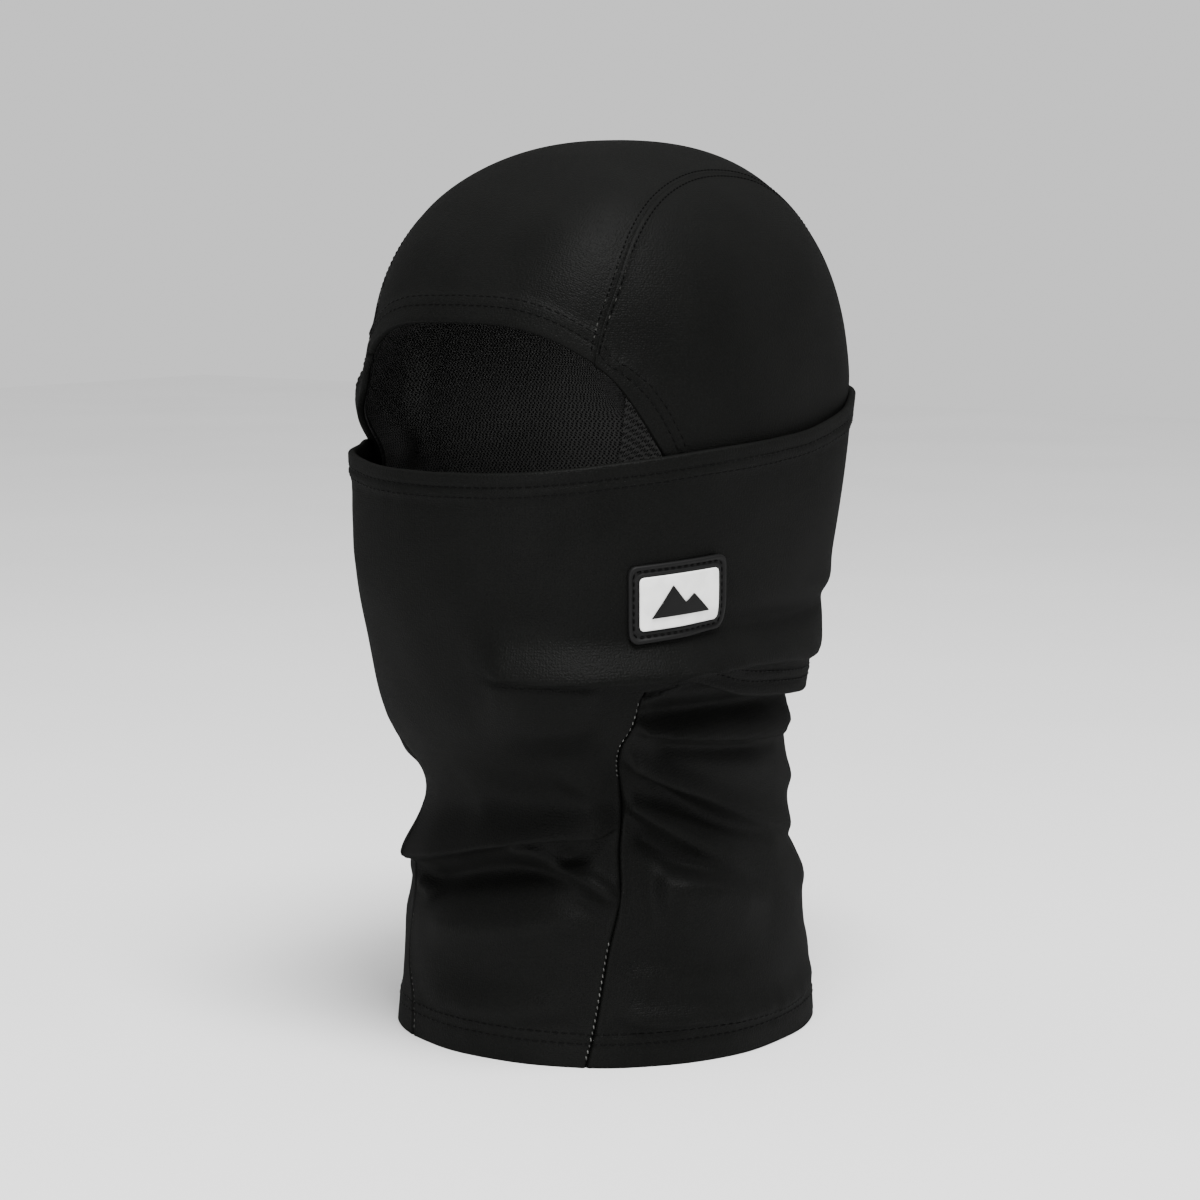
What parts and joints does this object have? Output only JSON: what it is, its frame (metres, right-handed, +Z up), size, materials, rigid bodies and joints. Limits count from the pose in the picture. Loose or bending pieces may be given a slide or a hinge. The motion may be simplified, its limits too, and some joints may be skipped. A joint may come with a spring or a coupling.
{
  "type": "balaclava",
  "caption": "Hinged winter balaclava: seamed hood with a mesh lining, an arched face opening and a mask that passes round the head and runs down the neck.",
  "frame": {"origin": "middle of the lower hem's plane, halfway between the front and back extents", "axes": "+Z up along the neck, -Y out of the face, +X to the wearer's left, where the badge is"},
  "size_m": [0.1598, 0.199, 0.316],
  "materials": {
    "hood_cloth": "matt brushed stretch knit, black",
    "mask_cloth": "matt brushed stretch knit, black, turned and double-stitched hems",
    "mesh_lining": "open knitted mesh, black",
    "black_thread": "spun sewing thread, charcoal",
    "pale_thread": "spun sewing thread, pale grey, seen as specks",
    "badge_rubber": "satin moulded rubber, black",
    "badge_print": "raised white print"
  },
  "bodies": {
    "hood": {"bottom_row_lower": "black_thread", "bottom_row_upper": "black_thread", "crown_lining": "mesh_lining", "crown_panel": "hood_cloth", "crown_row_inner_left": "black_thread", "crown_row_inner_right": "black_thread", "crown_row_outer_left": "black_thread", "crown_row_outer_right": "black_thread", "mask_stem": "mask_cloth", "neck_seam_row_left": "pale_thread", "neck_seam_row_right": "pale_thread", "opening_row_inner": "black_thread", "opening_row_outer": "black_thread", "side_lining_left": "mesh_lining", "side_lining_right": "mesh_lining", "side_panel_left": "hood_cloth", "side_panel_right": "hood_cloth"},
    "mask": {"back_seam_row_left": "black_thread", "back_seam_row_right": "black_thread", "badge_base": "badge_rubber", "badge_field": "badge_print", "badge_peaks": "badge_rubber", "badge_thread": "black_thread", "mask_hem_row_lower": "black_thread", "mask_hem_row_upper": "black_thread", "mask_panel": "mask_cloth", "mask_top_row_lower": "black_thread", "mask_top_row_upper": "black_thread"}
  },
  "joints": [
    {"name": "mask_drop", "type": "hinge", "parent": "hood", "child": "mask", "pos_m": [0, 0.18, 0.215], "axis": [1, 0, 0], "range_deg": [0, 7], "deforming": ["mask_stem", "neck_seam_row_left", "neck_seam_row_right"]}
  ]
}
